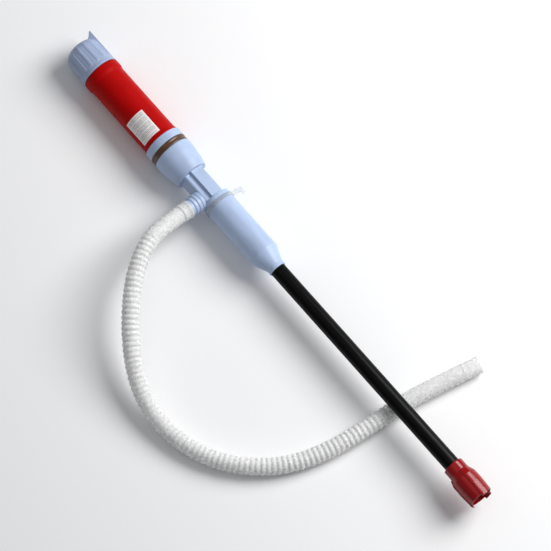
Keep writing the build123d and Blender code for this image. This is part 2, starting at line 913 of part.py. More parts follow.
def spider(start, length, rim, rim_wall, spokes):
    """A bush on spokes inside a rim, with running clearance for the drive shaft."""
    with BuildPart() as bush:
        with BuildSketch(pump.offset(start)):
            Circle(rim)
            Circle(rim - rim_wall, mode=Mode.SUBTRACT)
            Circle(2 * drive_radius)
            with PolarLocations((rim + drive_radius) / 2, spokes):
                Rectangle(rim - drive_radius - rim_wall, 1.2)
            Circle(drive_radius + shaft_gap, mode=Mode.SUBTRACT)
        extrude(amount=length)
    return bush


for number in (1, 2, 3):
    bush_station = nose_end + (number - 1.57) * bush_spacing
    finish(spider(bush_station, bush_length, tube_bore, 0.9, 3), f"shaft_bush_{number}")

# ---------------------------------------------------------------- strainer, impeller

strainer_bore = strainer_radius - strainer_wall
collar_stop = strainer_start + strainer_collar_length
bulb_start = collar_stop + 7

with BuildPart() as strainer_ribs:
    rib_envelope = outline(
        lengthwise(pump),
        (collar_stop, strainer_bore),
        (bulb_start, strainer_radius - 0.2 + rib_swell, 5),
        (bulb_start + 12, strainer_radius + rib_swell, 8),
        (strainer_mouth + foot_length, strainer_radius - 0.9 + rib_swell, 0.6),
        (strainer_mouth + foot_length, strainer_bore),
    )
    revolve(rib_envelope, axis=pump_axis)
    with BuildSketch(pump.offset(collar_stop)):
        with PolarLocations(strainer_radius, foot_count):
            Rectangle(4 * strainer_wall, 2 * strainer_radius * sin(radians(foot_arc / 2)))
    extrude(amount=overall_end - collar_stop, mode=Mode.INTERSECT)

with BuildPart() as strainer:
    seat = tube_radius
    body = outline(
        lengthwise(pump),
        (strainer_start, seat),
        (strainer_start, strainer_collar_radius, 0.8),
        (collar_stop, strainer_collar_radius, 3),
        (bulb_start, strainer_radius - 0.3, 5),
        (bulb_start + 10, strainer_radius, 8),
        (strainer_mouth, strainer_radius - 0.9, 0.5),
        (strainer_mouth, strainer_bore - 0.6),
        (bulb_start, strainer_bore - 0.4, 4),
        (tube_end + 2, tube_bore),
        (tube_end, tube_bore),
        (tube_end, seat),
    )
    revolve(body, axis=pump_axis)
    add(strainer_ribs.part)
finish(strainer, "strainer")

with BuildPart() as impeller:
    hub = outline(
        lengthwise(pump),
        (impeller_start, drive_radius),
        (impeller_start, 3.2, 0.6),
        (impeller_start + impeller_length, 3.2, 0.6),
        (impeller_start + impeller_length, drive_radius),
    )
    revolve(hub, axis=pump_axis)
    vane_middle = impeller_start + impeller_length / 2
    for vane in range(vane_count):
        side_plane = lengthwise(pump, 360 / vane_count * vane)
        out_dir = side_plane.y_dir
        lean_dir = pump.z_dir * cos(radians(35)) + side_plane.z_dir * sin(radians(35))
        vane_origin = pump.origin + pump.z_dir * vane_middle + out_dir * 2.6
        with BuildSketch(Plane(origin=vane_origin, x_dir=lean_dir, z_dir=out_dir)):
            RectangleRounded(impeller_length - 1, 1.2, 0.5)
        extrude(amount=impeller_radius - 3.0)
    with BuildSketch(pump.offset(impeller_start - 1)):
        Circle(drive_radius)
    extrude(amount=impeller_length + 2, mode=Mode.SUBTRACT)
finish(impeller, "impeller")

finish(spider(guard_start, guard_length, strainer_bore - 0.7, 1.2, 6), "inlet_spider")

# ---------------------------------------------------------------- hose

with BuildPart() as hose_start_cuff:
    cuff = outline(
        lengthwise(outlet),
        (spout_end, nipple_radius),
        (spout_end, cuff_radius, 0.5),
        (cuff_end, cuff_radius, 0.4),
        (cuff_end, hose_bore),
        (nipple_end, hose_bore),
        (nipple_end, nipple_radius),
    )
    revolve(cuff, axis=outlet_axis)
finish(hose_start_cuff, "hose_start_cuff")

hose_exit = outlet.from_local_coords((0, 0, cuff_end))
exit_run = 29.0
# where the hose lies: distances past its exit and beyond the pump's axis, and heights
lay_points = [
    (7.9, -96.8, 46.5),
    (25.9, -125.3, 46.5),
    (52.9, -152.8, 40),
    (82.9, -175.8, 29.5),
    (115.9, -192.8, 19),
    (153.9, -198.8, 12),
    (191.9, -192.8, hose_radius),
    (226.4, -177.3, hose_radius),
    (255.9, -152.3, hose_radius),
    (277.9, -119.8, hose_radius),
    (290.4, -81.8, hose_radius),
    (296.4, -42.3, hose_radius),
    (299.9, -1.8, hose_radius),
    (305.9, 38.2, hose_radius),
    (315.4, 77.2, hose_radius),
]
route = [hose_exit, hose_exit + spout_dir * exit_run]
route += [Vector(hose_exit.X + x, side_shift + y, z) for x, y, z in lay_points]


def corner_radius(before, corner, after):
    """The largest arc that two runs of the hose allow, with a little straight left at each end."""
    turn = (corner - before).get_angle(after - corner)
    shorter = min((corner - before).length, (after - corner).length)
    return 0.45 * shorter / tan(radians(turn / 2))


bends = [corner_radius(*route[i : i + 3]) for i in range(len(route) - 2)]

with BuildPart() as outlet_hose:
    with BuildLine() as hose_path:
        FilletPolyline(*route, radius=bends)
    with BuildSketch(Plane(origin=route[0], z_dir=spout_dir)):
        Circle(hose_radius)
        Circle(hose_bore, mode=Mode.SUBTRACT)
    sweep(path=hose_path.line)
finish(outlet_hose, "outlet_hose")

hose_end_dir = (route[-1] - route[-2]).normalized()
hose_mouth = Plane(origin=route[-1], z_dir=hose_end_dir)

with BuildPart() as hose_end_cuff:
    with BuildSketch(hose_mouth):
        Circle(hose_radius)
        Circle(end_cuff_bore, mode=Mode.SUBTRACT)
    extrude(amount=end_cuff_length)
finish(hose_end_cuff, "hose_end_cuff")

# ---------------------------------------------------------------- figures for the record

hose_length = sum(edge.length for edge in hose_path.edges())
hose_section = pi * (hose_radius**2 - hose_bore**2)
print("hose corner radii", [round(bend) for bend in bends])
print("hose tube", round(outlet_hose.part.volume), "section x length", round(hose_section * hose_length))
print("hose length, cuffs included", round(hose_length + cuff_end - spout_end + end_cuff_length, 1))
for title, point in (
    ("cap axis", grip.origin),
    ("pump axis", pump.origin),
    ("hook pivot", pump.from_local_coords((0, 0, hook_station + hook_band / 2))),
    ("hose exit", route[0]),
    ("hose mouth", route[-1] + hose_end_dir * end_cuff_length),
    ("strainer end", pump.from_local_coords((0, 0, overall_end))),
    ("foot", pump.from_local_coords((strainer_bore + 0.9, 0, overall_end))),
):
    print(title, [round(value, 3) for value in point])
print("axis direction", [round(value, 6) for value in axis_dir])
print("hose end direction", [round(value, 6) for value in hose_end_dir])
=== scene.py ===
import json
from math import acos, atan2, cos, pi, radians, sin, tan

import bmesh
import bpy
from bpy.props import (
    FloatProperty,
    FloatVectorProperty,
    IntProperty,
    PointerProperty,
)
from bpy.types import Operator, Panel, PropertyGroup
from mathutils import Matrix, Vector


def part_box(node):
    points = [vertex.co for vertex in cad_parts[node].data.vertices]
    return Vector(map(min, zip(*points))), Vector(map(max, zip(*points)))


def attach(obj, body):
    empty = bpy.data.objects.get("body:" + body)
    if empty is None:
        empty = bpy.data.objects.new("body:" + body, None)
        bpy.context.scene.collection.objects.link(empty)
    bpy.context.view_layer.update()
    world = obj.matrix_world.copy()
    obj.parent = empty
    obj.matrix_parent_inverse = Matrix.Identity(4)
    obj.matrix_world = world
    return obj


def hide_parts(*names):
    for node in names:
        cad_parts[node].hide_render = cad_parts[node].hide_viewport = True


bl_info = {
    "name": "Battery transfer pump",
    "version": (1, 0, 0),
    "blender": (4, 5, 0),
    "location": "View3D > Sidebar > Pump",
    "description": "Builds the finished pieces of a battery transfer pump around its CAD frame",
    "category": "Add Mesh",
}

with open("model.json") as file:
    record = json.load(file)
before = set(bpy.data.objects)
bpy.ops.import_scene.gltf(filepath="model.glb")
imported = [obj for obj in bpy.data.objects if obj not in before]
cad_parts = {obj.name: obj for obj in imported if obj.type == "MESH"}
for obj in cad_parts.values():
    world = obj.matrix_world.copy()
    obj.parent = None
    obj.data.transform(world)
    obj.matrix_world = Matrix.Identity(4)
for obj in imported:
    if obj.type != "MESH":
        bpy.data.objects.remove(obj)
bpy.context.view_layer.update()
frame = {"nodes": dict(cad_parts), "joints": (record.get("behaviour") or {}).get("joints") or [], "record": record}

# ------------------------------------------------------------------ frames and measures

MM = 0.001
ROLL = radians(15)               # the spout points this far above the horizontal
JOINTS = {joint["name"]: joint for joint in frame["joints"]}
AXIS_WAY = Vector(JOINTS["drive_spin"]["axis"]).normalized()
PUMP_START = Vector(JOINTS["drive_spin"]["pos_m"])
GRIP_START = Vector(JOINTS["knob_turn"]["pos_m"])
LEVEL_WAY = Vector((0, 1, 0))
UPPER_WAY = AXIS_WAY.cross(LEVEL_WAY)
RIB_WAY = LEVEL_WAY * sin(ROLL) + UPPER_WAY * cos(ROLL)
SPOUT_WAY = UPPER_WAY * sin(ROLL) - LEVEL_WAY * cos(ROLL)


def placing(start, across, along):
    """The matrix that stands a piece made along Z on its place. Its X points across."""
    side = along.cross(across)
    turn = Matrix((across, side, along)).transposed().to_4x4()
    return Matrix.Translation(start) @ turn @ Matrix.Scale(MM, 4)


PUMP = placing(PUMP_START, RIB_WAY, AXIS_WAY)
GRIP = placing(GRIP_START, RIB_WAY, AXIS_WAY)
OUTLET_STATION = 216.5
OUTLET = placing(PUMP_START + AXIS_WAY * OUTLET_STATION * MM, RIB_WAY, SPOUT_WAY)

RINGS_PER_PITCH = 8.0            # rings of the hose's skin from crest to crest
VALLEY_SHARPNESS = 1.5           # above 1, the crests are wider than the valleys
RAMP_PITCHES = 3.0               # the corrugation fades in and out over this many pitches
LABEL_ROWS = 22.0                # rows of dashes on the label

# The hose's route, from its cuff on the spout to its far end
HOSE_ROUTE = (
    (-0.106904, -0.035696, 0.034863),
    (-0.107016, -0.063708, 0.042368),
    (-0.099, -0.091, 0.0465),
    (-0.081, -0.1195, 0.0465),
    (-0.054, -0.147, 0.040),
    (-0.024, -0.170, 0.0295),
    (0.009, -0.187, 0.019),
    (0.047, -0.193, 0.012),
    (0.085, -0.187, 0.0095),
    (0.1195, -0.1715, 0.0095),
    (0.149, -0.1465, 0.0095),
    (0.171, -0.114, 0.0095),
    (0.1835, -0.076, 0.0095),
    (0.1895, -0.0365, 0.0095),
    (0.193, 0.004, 0.0095),
    (0.199, 0.044, 0.0095),
    (0.2085, 0.083, 0.0095),
)

# ------------------------------------------------------------------ settings


CAMERA_TARGET = (-0.00018, 0.00503, -0.00008)
LIGHT_TARGET = (0.0, 0.0, 0.03)
SENSOR_WIDTH = 36.0
FLOOR_HALF = 6.0                 # half the floor's side
SKY_COLOUR = (0.93, 0.95, 1.0, 1)
SKY_STRENGTH = 0.24


class StageSettings(PropertyGroup):
    """The camera and the lights."""

    azimuth: FloatProperty(
        name="Azimuth", description="Where the camera stands round the pump",
        default=radians(49.87), subtype="ANGLE",
    )
    elevation: FloatProperty(
        name="Elevation", description="How far the camera looks down",
        default=radians(72), subtype="ANGLE",
    )
    distance: FloatProperty(
        name="Distance", description="From the camera to the pump",
        default=5.0, subtype="DISTANCE", unit="LENGTH",
    )
    lens: FloatProperty(
        name="Lens", description="Focal length", default=312.0, subtype="DISTANCE_CAMERA",
    )
    key_power: FloatProperty(
        name="Key light", description="Power of the large light beside the hook",
        default=38.0, unit="POWER",
    )
    top_power: FloatProperty(
        name="Top light", description="Power of the soft light overhead",
        default=4.0, unit="POWER",
    )
    floor_colour: FloatVectorProperty(
        name="Floor", description="Colour of the floor", subtype="COLOR",
        default=(0.94, 0.94, 0.94), min=0, max=1,
    )


class PlasticSettings(PropertyGroup):
    """The colours of the moulded pieces."""

    pale_blue: FloatVectorProperty(
        name="Housing", description="Colour of the housing, sleeve, spout and collar",
        subtype="COLOR", default=(0.40, 0.50, 0.70), min=0, max=1,
    )
    cap_blue: FloatVectorProperty(
        name="Cap", description="Colour of the switch cap",
        subtype="COLOR", default=(0.33, 0.40, 0.57), min=0, max=1,
    )
    handle_red: FloatVectorProperty(
        name="Handle", description="Colour of the battery handle",
        subtype="COLOR", default=(0.42, 0.001, 0.001), min=0, max=1,
    )
    strainer_red: FloatVectorProperty(
        name="Strainer", description="Colour of the strainer",
        subtype="COLOR", default=(0.27, 0.0008, 0.003), min=0, max=1,
    )
    ring_brown: FloatVectorProperty(
        name="Seal ring", description="Colour of the ring between handle and housing",
        subtype="COLOR", default=(0.085, 0.036, 0.014), min=0, max=1,
    )
    inner_white: FloatVectorProperty(
        name="Inner pieces", description="Colour of the plain moulded inner pieces",
        subtype="COLOR", default=(0.80, 0.80, 0.77), min=0, max=1,
    )


class HoseSettings(PropertyGroup):
    """The outlet hose."""

    radius: FloatProperty(
        name="Radius", description="Outer radius at the crests",
        default=0.0095, unit="LENGTH", precision=5,
    )
    pitch: FloatProperty(
        name="Pitch", description="Distance from one crest to the next",
        default=0.0056, unit="LENGTH", precision=5,
    )
    depth: FloatProperty(
        name="Depth", description="How deep the valleys are between the crests",
        default=0.0009, unit="LENGTH", precision=5,
    )
    plain_start: FloatProperty(
        name="Plain start", description="Length without crests at the spout",
        default=0.035, unit="LENGTH",
    )
    plain_end: FloatProperty(
        name="Plain end", description="Length without crests at the far end",
        default=0.075, unit="LENGTH",
    )
    wall: FloatProperty(
        name="Wall", description="Thickness of the hose's wall",
        default=0.0011, unit="LENGTH", precision=5,
    )
    sides: IntProperty(name="Sides", description="Faces round the hose", default=32, min=12)
    real_length: FloatProperty(
        name="Length", description="Real length between the two cuffs",
        default=0.6, unit="LENGTH",
    )


class CapSettings(PropertyGroup):
    """The ribbed switch cap."""

    ridges: IntProperty(name="Ridges", description="Grip ridges round the cap", default=14)
    first_ridge: FloatProperty(
        name="First ridge", description="Angle of the first ridge from the housing's rib",
        default=radians(6), subtype="ANGLE",
    )
    ridge_arc: FloatProperty(
        name="Ridge arc", description="How wide each ridge is", default=radians(8.6),
        subtype="ANGLE",
    )
    lug_angle: FloatProperty(
        name="Lug", description="Angle of the thumb lug from the housing's rib",
        default=radians(-63), subtype="ANGLE",
    )


class LabelSettings(PropertyGroup):
    """The label on the handle."""

    start: FloatProperty(
        name="Start", description="Distance of the label from the cap's top",
        default=0.1034, unit="LENGTH", precision=4,
    )
    length: FloatProperty(
        name="Length", description="Size of the label along the handle",
        default=0.030, unit="LENGTH", precision=4,
    )
    arc: FloatProperty(
        name="Arc", description="How far the label reaches round the handle",
        default=radians(72), subtype="ANGLE",
    )
    middle: FloatProperty(
        name="Middle", description="Angle of the label's middle from the housing's rib",
        default=radians(44.3), subtype="ANGLE",
    )


# ------------------------------------------------------------------ mesh helpers


def rounded(corners, steps=6):
    """Corner points as (along, out) or (along, out, rounding), with the roundings drawn in."""
    points = []
    count = len(corners)
    for index, corner in enumerate(corners):
        here = Vector(corner[:2])
        if len(corner) < 3:
            points.append(here)
            continue
        before = (Vector(corners[index - 1][:2]) - here).normalized()
        after = (Vector(corners[(index + 1) % count][:2]) - here).normalized()
        half = acos(max(-1.0, min(1.0, before.dot(after)))) / 2
        reach = corner[2] / tan(half)
        centre = here + (before + after).normalized() * corner[2] / sin(half)
        first = here + before * reach - centre
        last = here + after * reach - centre
        turn = atan2(first.x * last.y - first.y * last.x, first.dot(last))
        for step in range(steps + 1):
            share = turn * step / steps
            points.append(centre + Vector((
                first.x * cos(share) - first.y * sin(share),
                first.x * sin(share) + first.y * cos(share),
            )))
    return points


def mesh_object(name, mesh):
    """A linked object for a mesh."""
    made = bpy.data.objects.new(name, mesh)
    bpy.context.scene.collection.objects.link(made)
    return made


def closed_mesh(name, shape):
    """Turns a bmesh into a closed, smooth mesh whose faces point outwards."""
    bmesh.ops.remove_doubles(shape, verts=shape.verts, dist=1e-5)
    bmesh.ops.recalc_face_normals(shape, faces=shape.faces)
    for face in shape.faces:
        face.smooth = True
    mesh = bpy.data.meshes.new(name)
    shape.to_mesh(mesh)
    shape.free()
    return mesh


def lathe(name, corners, segments=160, start=0.0, arc=2 * pi):
    """A closed mesh turned about Z from a section of (station, radius) corners, in millimetres."""
    section = rounded(corners)
    whole = arc >= 2 * pi - 1e-6
    rings = segments if whole else segments + 1
    shape = bmesh.new()
    rows = []
    for ring in range(rings):
        angle = start + arc * ring / segments
        rows.append([
            shape.verts.new((point.y * cos(angle), point.y * sin(angle), point.x))
            for point in section
        ])
    for ring in range(segments):
        here = rows[ring]
        there = rows[(ring + 1) % rings]
        for index in range(len(section)):
            after = (index + 1) % len(section)
            if section[index].y < 1e-6 and section[after].y < 1e-6:
                continue
            shape.faces.new((here[index], here[after], there[after], there[index]))
    if not whole:
        shape.faces.new(rows[0])
        shape.faces.new(rows[-1])
    return closed_mesh(name, shape)


def prism(name, corners, angle, width):
    """A closed plate of (station, radius) corners, standing at an angle round Z."""
    section = rounded(corners)
    out = Vector((cos(angle), sin(angle), 0))
    side = Vector((-sin(angle), cos(angle), 0))
    shape = bmesh.new()
    faces = []
    for shift in (-width / 2, width / 2):
        ring = [
            shape.verts.new(out * point.y + side * shift + Vector((0, 0, point.x)))
            for point in section
        ]
        faces.append(ring)
        shape.faces.new(ring)
    for index in range(len(section)):
        after = (index + 1) % len(section)
        shape.faces.new((faces[0][index], faces[0][after], faces[1][after], faces[1][index]))
    return closed_mesh(name, shape)


def joined(name, meshes):
    """One mesh that holds several."""
    shape = bmesh.new()
    for mesh in meshes:
        shape.from_mesh(mesh)
    mesh = bpy.data.meshes.new(name)
    shape.to_mesh(mesh)
    shape.free()
    return mesh


def evaluated_mesh(made):
    """The mesh of an object with its modifiers applied."""
    bpy.context.view_layer.update()
    seen = made.evaluated_get(bpy.context.evaluated_depsgraph_get())
    return bpy.data.meshes.new_from_object(seen)


def settle(made):
    """Replaces an object that has modifiers with a plain one of the same name."""
    name = made.name
    mesh = evaluated_mesh(made)
    bpy.data.objects.remove(made)
    mesh.name = name
    return mesh_object(name, mesh)


def softened(made, voxel, passes):
    """Melts a closed mesh into one skin with small roundings at its edges, as a moulding has."""
    melt = made.modifiers.new("Melt", "REMESH")
    melt.mode = "VOXEL"
    melt.voxel_size = voxel
    melt.use_smooth_shade = True
    ease = made.modifiers.new("Ease", "SMOOTH")
    ease.factor = 0.5
    ease.iterations = passes
    made = settle(made)
    for face in made.data.polygons:
        face.use_smooth = True
    return made


def copied_node(name, node):
    """A merged copy of a CAD node's mesh, in the row frame."""
    shape = bmesh.new()
    shape.from_mesh(frame["nodes"][node].data)
    bmesh.ops.remove_doubles(shape, verts=shape.verts, dist=1e-6)
    mesh = bpy.data.meshes.new(name)
    shape.to_mesh(mesh)
    shape.free()
    return mesh_object(name, mesh)


def dress(made, material):
    """Gives a piece its one material."""
    made.data.materials.clear()
    made.data.materials.append(material)
    for face in made.data.polygons:
        face.material_index = 0
    return made


def piece(made, material, body, slot, *nodes):
    """Finishes a piece: its material, its body and the CAD nodes it stands for, which it hides. The slot argument
    is not used.
    """
    dress(made, material)
    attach(made, body)
    if nodes:
        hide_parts(*nodes)
    return made


# ------------------------------------------------------------------ geometry nodes


class NodeBuilder:
    """Adds and links the nodes of one tree."""

    def __init__(self, tree):
        self.tree = tree

    def add(self, kind, **values):
        """Adds a node. Names are its properties."""
        node = self.tree.nodes.new(kind)
        for key, value in values.items():
            setattr(node, key, value)
        return node

    def link(self, source, target):
        """Links two sockets."""
        self.tree.links.new(source, target)

    def math(self, operation, first, second=None):
        """A Math node on sockets or numbers. Returns its result."""
        node = self.add("ShaderNodeMath", operation=operation)
        for socket, value in zip(node.inputs, (first, second)):
            if value is None:
                continue
            if isinstance(value, (int, float)):
                socket.default_value = value
            else:
                self.link(value, socket)
        return node.outputs[0]


def new_tree(name, inputs):
    """A geometry tree with Geometry and the named inputs. Returns its builder and its two ends."""
    tree = bpy.data.node_groups.new(name, "GeometryNodeTree")
    tree.interface.new_socket("Geometry", in_out="INPUT", socket_type="NodeSocketGeometry")
    for label, kind in inputs:
        tree.interface.new_socket(label, in_out="INPUT", socket_type=kind)
    tree.interface.new_socket("Geometry", in_out="OUTPUT", socket_type="NodeSocketGeometry")
    build = NodeBuilder(tree)
    return build, build.add("NodeGroupInput"), build.add("NodeGroupOutput")


def end_tree(build, given, result, shape):
    """Ends a tree: it makes instances real and sets their material. Returns the tree."""
    real = build.add("GeometryNodeRealizeInstances")
    build.link(shape, real.inputs[0])
    paint = build.add("GeometryNodeSetMaterial")
    build.link(real.outputs[0], paint.inputs["Geometry"])
    build.link(given.outputs["Material"], paint.inputs["Material"])
    build.link(paint.outputs[0], result.inputs[0])
    return build.tree


def run_tree(made, tree, values):
    """Puts a tree on an object, sets its inputs and returns the plain result."""
    modifier = made.modifiers.new(tree.name, "NODES")
    modifier.node_group = tree
    for item in tree.interface.items_tree:
        if item.item_type == "SOCKET" and item.in_out == "INPUT" and item.name in values:
            modifier[item.identifier] = values[item.name]
    return settle(made)


def ring_tree():
    """Copies a shape round the Z axis."""
    build, given, result = new_tree("Copies round an axis", (
        ("Count", "NodeSocketInt"),
        ("First angle", "NodeSocketFloat"),
        ("Material", "NodeSocketMaterial"),
    ))
    points = build.add("GeometryNodePoints")
    build.link(given.outputs["Count"], points.inputs["Count"])
    index = build.add("GeometryNodeInputIndex")
    step = build.math("DIVIDE", 2 * pi, given.outputs["Count"])
    turned = build.math("MULTIPLY", index.outputs[0], step)
    angle = build.math("ADD", turned, given.outputs["First angle"])
    turn = build.add("ShaderNodeCombineXYZ")
    build.link(angle, turn.inputs["Z"])
    euler = build.add("FunctionNodeEulerToRotation")
    build.link(turn.outputs[0], euler.inputs[0])
    copies = build.add("GeometryNodeInstanceOnPoints")
    build.link(points.outputs[0], copies.inputs["Points"])
    build.link(given.outputs["Geometry"], copies.inputs["Instance"])
    build.link(euler.outputs[0], copies.inputs["Rotation"])
    return end_tree(build, given, result, copies.outputs[0])


def ramp_up(build, along, plain, pitch):
    """Rises softly from 0 to 1 over RAMP_PITCHES pitches, after a plain length."""
    ramp = build.add("ShaderNodeMapRange", interpolation_type="SMOOTHSTEP")
    build.link(along, ramp.inputs["Value"])
    build.link(plain, ramp.inputs["From Min"])
    reach = build.math("MULTIPLY", pitch, RAMP_PITCHES)
    build.link(build.math("ADD", plain, reach), ramp.inputs["From Max"])
    return ramp.outputs[0]


def hose_tree():
    """Sweeps a corrugated skin along a curve."""
    build, given, result = new_tree("Corrugated hose", (
        ("Radius", "NodeSocketFloat"),
        ("Pitch", "NodeSocketFloat"),
        ("Depth", "NodeSocketFloat"),
        ("Plain start", "NodeSocketFloat"),
        ("Plain end", "NodeSocketFloat"),
        ("Sides", "NodeSocketInt"),
        ("Material", "NodeSocketMaterial"),
    ))
    whole = build.add("GeometryNodeCurveLength")
    build.link(given.outputs["Geometry"], whole.inputs[0])
    gap = build.math("DIVIDE", given.outputs["Pitch"], RINGS_PER_PITCH)
    steps = build.math("DIVIDE", whole.outputs[0], gap)
    line = build.add("GeometryNodeResampleCurve")
    build.link(given.outputs["Geometry"], line.inputs["Curve"])
    build.link(steps, line.inputs["Count"])
    place = build.add("GeometryNodeSplineParameter")
    along = place.outputs["Length"]
    turns = build.math("DIVIDE", build.math("MULTIPLY", along, 2 * pi), given.outputs["Pitch"])
    wave = build.math("ADD", build.math("MULTIPLY", build.math("COSINE", turns), 0.5), 0.5)
    shaped = build.math("POWER", wave, VALLEY_SHARPNESS)
    rise = ramp_up(build, along, given.outputs["Plain start"], given.outputs["Pitch"])
    left = build.math("SUBTRACT", whole.outputs[0], along)
    fall = ramp_up(build, left, given.outputs["Plain end"], given.outputs["Pitch"])
    window = build.math("MULTIPLY", rise, fall)
    dip = build.math("MULTIPLY", build.math("MULTIPLY", shaped, window), given.outputs["Depth"])
    radius = build.math("SUBTRACT", given.outputs["Radius"], dip)
    sized = build.add("GeometryNodeSetCurveRadius")
    build.link(line.outputs[0], sized.inputs["Curve"])
    build.link(radius, sized.inputs["Radius"])
    ring = build.add("GeometryNodeCurvePrimitiveCircle")
    build.link(given.outputs["Sides"], ring.inputs["Resolution"])
    ring.inputs["Radius"].default_value = 1.0
    skin = build.add("GeometryNodeCurveToMesh")
    build.link(sized.outputs[0], skin.inputs["Curve"])
    build.link(ring.outputs[0], skin.inputs["Profile Curve"])
    size = build.add("GeometryNodeInputRadius")
    build.link(size.outputs[0], skin.inputs["Scale"])
    smooth = build.add("GeometryNodeSetShadeSmooth")
    build.link(skin.outputs[0], smooth.inputs[0])
    return end_tree(build, given, result, smooth.outputs[0])


def copies_round(name, mesh, count, first_angle):
    """Copies of a mesh round Z, as one plain object."""
    values = {"Count": count, "First angle": first_angle}
    return run_tree(mesh_object(name, mesh), ring_tree(), values)


# ------------------------------------------------------------------ materials


class Finish(NodeBuilder):
    """A material under construction, on Object coordinates."""

    def __init__(self, name):
        self.material = bpy.data.materials.new(name)
        self.material.use_nodes = True
        super().__init__(self.material.node_tree)
        self.shader = self.tree.nodes["Principled BSDF"]
        self.place = self.add("ShaderNodeTexCoord").outputs["Object"]

    def set(self, **values):
        """Sets plain values on the shader. Underscores in names stand for spaces."""
        for key, value in values.items():
            self.shader.inputs[key.replace("_", " ")].default_value = value
        return self

    def stretched(self, scale):
        """Object coordinates, scaled."""
        mapping = self.add("ShaderNodeMapping")
        self.link(self.place, mapping.inputs["Vector"])
        mapping.inputs["Scale"].default_value = scale
        return mapping.outputs[0]

    def noise(self, scale, detail=3.0, vector=None, roughness=0.5):
        """A noise value."""
        node = self.add("ShaderNodeTexNoise")
        self.link(vector or self.place, node.inputs["Vector"])
        node.inputs["Scale"].default_value = scale
        node.inputs["Detail"].default_value = detail
        node.inputs["Roughness"].default_value = roughness
        return node.outputs["Fac"]

    def between(self, value, low, high, least=0.35, most=0.65):
        """A value taken from one range to another."""
        node = self.add("ShaderNodeMapRange")
        self.link(value, node.inputs["Value"])
        node.inputs["From Min"].default_value = least
        node.inputs["From Max"].default_value = most
        node.inputs["To Min"].default_value = low
        node.inputs["To Max"].default_value = high
        return node.outputs[0]

    def blend(self, share, first, second):
        """Mixes two colours, each a colour or a socket."""
        node = self.add("ShaderNodeMix", data_type="RGBA")
        self.link(share, node.inputs["Factor"])
        for socket, value in ((node.inputs[6], first), (node.inputs[7], second)):
            if isinstance(value, (tuple, list)):
                socket.default_value = (*value[:3], 1)
            else:
                self.link(value, socket)
        return node.outputs[2]

    def colour(self, socket):
        """Sets the base colour from a socket."""
        self.link(socket, self.shader.inputs["Base Color"])
        return self

    def roughness(self, socket):
        """Sets the roughness from a socket."""
        self.link(socket, self.shader.inputs["Roughness"])
        return self

    def bump(self, height, depth, strength=1.0, under=None):
        """Adds relief from a height value. The depth is in metres."""
        node = self.add("ShaderNodeBump")
        node.inputs["Strength"].default_value = strength
        node.inputs["Distance"].default_value = depth
        self.link(height, node.inputs["Height"])
        if under is not None:
            self.link(under, node.inputs["Normal"])
        self.link(node.outputs[0], self.shader.inputs["Normal"])
        return node.outputs[0]


def tint(colour, share):
    """A colour made darker or lighter."""
    return tuple(min(1.0, max(0.0, channel * share)) for channel in colour[:3])


def moulded(name, colour, rough, grain=0.00003, mottle=0.06, **values):
    """Moulded plastic: faint flow marks, a fine grain and uneven gloss."""
    made = Finish(name).set(**values)
    flow = made.noise(1.0, 4.0, made.stretched((28, 90, 90)))
    cloud = made.noise(55.0, 2.0)
    shade = made.blend(
        made.between(flow, 0.0, 1.0), tint(colour, 1 - mottle), tint(colour, 1 + mottle)
    )
    speck = made.between(made.noise(2300.0, 1.0), 0.0, 0.35, 0.68, 0.75)
    made.colour(made.blend(speck, shade, tint(colour, 0.72)))
    made.roughness(made.between(cloud, rough - 0.05, rough + 0.07))
    fine = made.bump(made.noise(1700.0, 2.0), grain, 0.5)
    made.bump(flow, 0.00008, 0.25, fine)
    return made.material


def metal(name, colour, rough, stretch=(300, 2500, 2500), depth=0.000012):
    """Drawn or brushed metal with fine lines."""
    made = Finish(name).set(Metallic=1.0)
    lines = made.noise(1.0, 3.0, made.stretched(stretch))
    stain = made.noise(420.0, 3.0)
    made.colour(made.blend(made.between(stain, 0.0, 1.0), tint(colour, 0.82), tint(colour, 1.08)))
    made.roughness(made.between(lines, rough - 0.08, rough + 0.1))
    made.bump(lines, depth, 0.6)
    return made.material


def hose_material():
    """Soft clear vinyl that has gone a little milky."""
    made = Finish("hose_vinyl").set(IOR=1.18, Transmission_Weight=0.40, Specular_IOR_Level=0.4)
    cloud = made.noise(95.0, 3.0)
    milky, clear = (0.965, 0.965, 0.955), (0.995, 0.995, 0.99)
    made.colour(made.blend(made.between(cloud, 0.0, 1.0), milky, clear))
    made.roughness(made.between(made.noise(260.0, 2.0), 0.20, 0.36))
    made.bump(made.noise(420.0, 2.0), 0.00002, 0.15)
    return made.material


def hook_material():
    """Clear moulded plastic."""
    made = Finish("clear_plastic").set(IOR=1.45, Transmission_Weight=0.85)
    cloud = made.noise(140.0, 2.0)
    made.colour(made.blend(made.between(cloud, 0.0, 1.0), (0.86, 0.90, 0.93), (0.95, 0.97, 0.98)))
    made.roughness(made.between(cloud, 0.06, 0.18))
    made.bump(made.noise(1200.0, 2.0), 0.00003, 0.4)
    return made.material


def tube_material():
    """Black extruded plastic with faint lines along it and a soft polish."""
    made = Finish("black_tube").set(Specular_IOR_Level=0.10)
    lines = made.noise(1.0, 3.0, made.stretched((6, 900, 900)))
    scuff = made.between(made.noise(1.0, 4.0, made.stretched((60, 420, 420))), 0.0, 1.0, 0.62, 0.78)
    made.colour(made.blend(scuff, (0.0012, 0.0012, 0.0013), (0.005, 0.005, 0.0055)))
    made.roughness(made.between(lines, 0.24, 0.40))
    made.bump(lines, 0.00003, 0.45)
    return made.material


